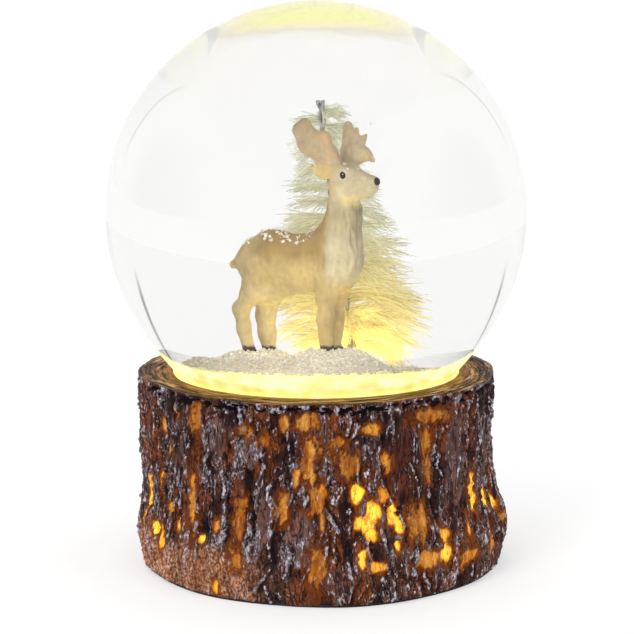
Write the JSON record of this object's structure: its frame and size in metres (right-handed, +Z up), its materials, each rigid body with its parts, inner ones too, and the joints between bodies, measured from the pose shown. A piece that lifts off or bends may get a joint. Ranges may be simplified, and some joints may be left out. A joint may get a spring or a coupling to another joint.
{
  "type": "snow globe",
  "caption": "Lit snow globe: a glass ball of water with a deer and a bottle-brush tree on a hollow tree-stump base with battery lights.",
  "frame": {"origin": "on the table, under the centre of the ball", "axes": "+Z up along the ball's axis, front (the deer's right side) towards -Y, +X to the right as seen from the front"},
  "size_m": [0.1, 0.1, 0.1345],
  "materials": {
    "clear_glass": "clear blown glass, polished",
    "water": "clear water, stands for the fill's density",
    "stopper_rubber": "milky translucent rubber",
    "glow_resin": "translucent resin, lit warm yellow from below",
    "snow": "granular white resin snow",
    "flake": "white snow flakes",
    "deer_resin": "hand painted cast resin, tan with pale head, dark eyes and hooves",
    "twisted_wire": "galvanised wire",
    "bristle": "cream sisal bristles",
    "clear_sealant": "clear glue bead, lit amber",
    "bark_resin": "translucent amber resin, painted dark brown, dry brushed lilac grey",
    "pad_foam": "matt black foam rubber",
    "base_plastic": "fine grained black moulded plastic",
    "screw_steel": "zinc plated steel",
    "cell_jacket": "plain dark printed jacket, steel ends",
    "spring_steel": "nickel plated spring steel",
    "board_laminate": "green solder mask",
    "led_lens": "clear warm white LED lens, lit",
    "component_black": "black epoxy packages",
    "lead_red": "red PVC insulation",
    "lead_black": "black PVC insulation",
    "lead_white": "white PVC insulation",
    "switch_case": "pressed plated steel",
    "switch_plastic": "black moulded plastic"
  },
  "bodies": {
    "globe_and_base": {"glass_globe": "clear_glass", "water_fill": "water", "stopper": "stopper_rubber", "glow_plinth": "glow_resin", "snow_ground": "snow", "loose_flakes": "flake", "deer_figurine": "deer_resin", "tree_wire": "twisted_wire", "tree_bristles": "bristle", "neck_sealant": "clear_sealant", "seat_adhesive": "clear_sealant", "stump_shell": "bark_resin", "foam_pad": "pad_foam", "bottom_plate": "base_plastic", "bottom_screws": "screw_steel", "battery_tray": "base_plastic", "battery_contacts": "spring_steel", "battery_springs": "spring_steel", "battery_1": "cell_jacket", "battery_2": "cell_jacket", "battery_3": "cell_jacket", "led_board": "board_laminate", "led_emitters": "led_lens", "board_components": "component_black", "board_screws": "screw_steel", "switch_body": "switch_case", "switch_screws": "screw_steel", "lead_red": "lead_red", "lead_black": "lead_black", "lead_white": "lead_white"},
    "battery_lid": {"battery_door": "base_plastic", "door_screw": "screw_steel"},
    "switch_slider": {"switch_knob": "switch_plastic"}
  },
  "joints": [
    {"name": "lid_tilt", "type": "hinge", "parent": "globe_and_base", "child": "battery_lid", "pos_m": [-0.0245, 0, 0.0025], "axis": [0, 1, 0], "range_deg": [0, 90]},
    {"name": "switch_slide", "type": "slide", "parent": "globe_and_base", "child": "switch_slider", "axis": [1, 0, 0], "range_m": [0, 0.004]}
  ]
}
